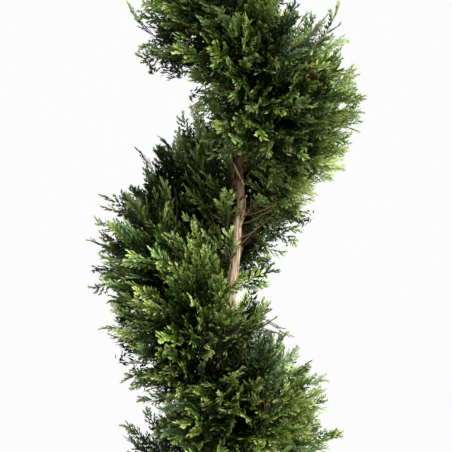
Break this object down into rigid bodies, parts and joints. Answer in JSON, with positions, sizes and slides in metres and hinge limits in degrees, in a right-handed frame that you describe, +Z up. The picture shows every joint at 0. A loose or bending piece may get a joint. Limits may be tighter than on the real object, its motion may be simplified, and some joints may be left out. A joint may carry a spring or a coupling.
{
  "type": "spiral topiary",
  "caption": "Evergreen shrub clipped into a spiral: a slender wavy trunk rooted in the ground, with one broad band of feathery foliage winding up round it to a small flame-shaped tip.",
  "frame": {"origin": "middle of the flat cut under the trunk, at ground level", "axes": "+Z up; +X the side to which the trunk leans, to the viewer's right; -Y the front, where the trunk shows between two turns of the band"},
  "size_m": [0.5006, 0.4511, 2.149],
  "materials": {
    "trunk_bark": "grey-brown fibrous bark that peels in upright strips, rough and matt",
    "bough_bark": "red-brown bark of young boughs and twigs, rough and matt",
    "foliage": "feathery sprays of scale leaves, yellow-green at the tips and dark blue-green inside, slightly waxy"
  },
  "bodies": {
    "root": {"trunk_1": "trunk_bark", "trunk_2": "trunk_bark", "trunk_3": "trunk_bark", "trunk_4": "trunk_bark", "foliage_01": "foliage", "foliage_02": "foliage", "foliage_03": "foliage", "foliage_04": "foliage", "foliage_05": "foliage", "foliage_06": "foliage", "foliage_07": "foliage", "foliage_08": "foliage", "foliage_09": "foliage", "foliage_10": "foliage", "foliage_11": "foliage", "foliage_12": "foliage", "foliage_13": "foliage", "foliage_14": "foliage", "foliage_15": "foliage", "foliage_16": "foliage", "bough_01": "bough_bark", "bough_02": "bough_bark", "bough_03": "bough_bark", "bough_04": "bough_bark", "bough_05": "bough_bark", "bough_06": "bough_bark", "bough_07": "bough_bark", "bough_08": "bough_bark", "bough_09": "bough_bark", "bough_10": "bough_bark", "bough_11": "bough_bark", "bough_12": "bough_bark", "bough_13": "bough_bark", "bough_14": "bough_bark", "bough_15": "bough_bark", "bough_16": "bough_bark", "bough_17": "bough_bark", "bough_18": "bough_bark", "bough_19": "bough_bark", "bough_20": "bough_bark", "bough_21": "bough_bark", "bough_22": "bough_bark", "bough_23": "bough_bark", "bough_24": "bough_bark", "bough_25": "bough_bark", "bough_26": "bough_bark", "bough_27": "bough_bark", "bough_28": "bough_bark", "bough_29": "bough_bark", "bough_30": "bough_bark", "bough_31": "bough_bark", "bough_32": "bough_bark", "top_tuft": "foliage"}
  },
  "joints": []
}
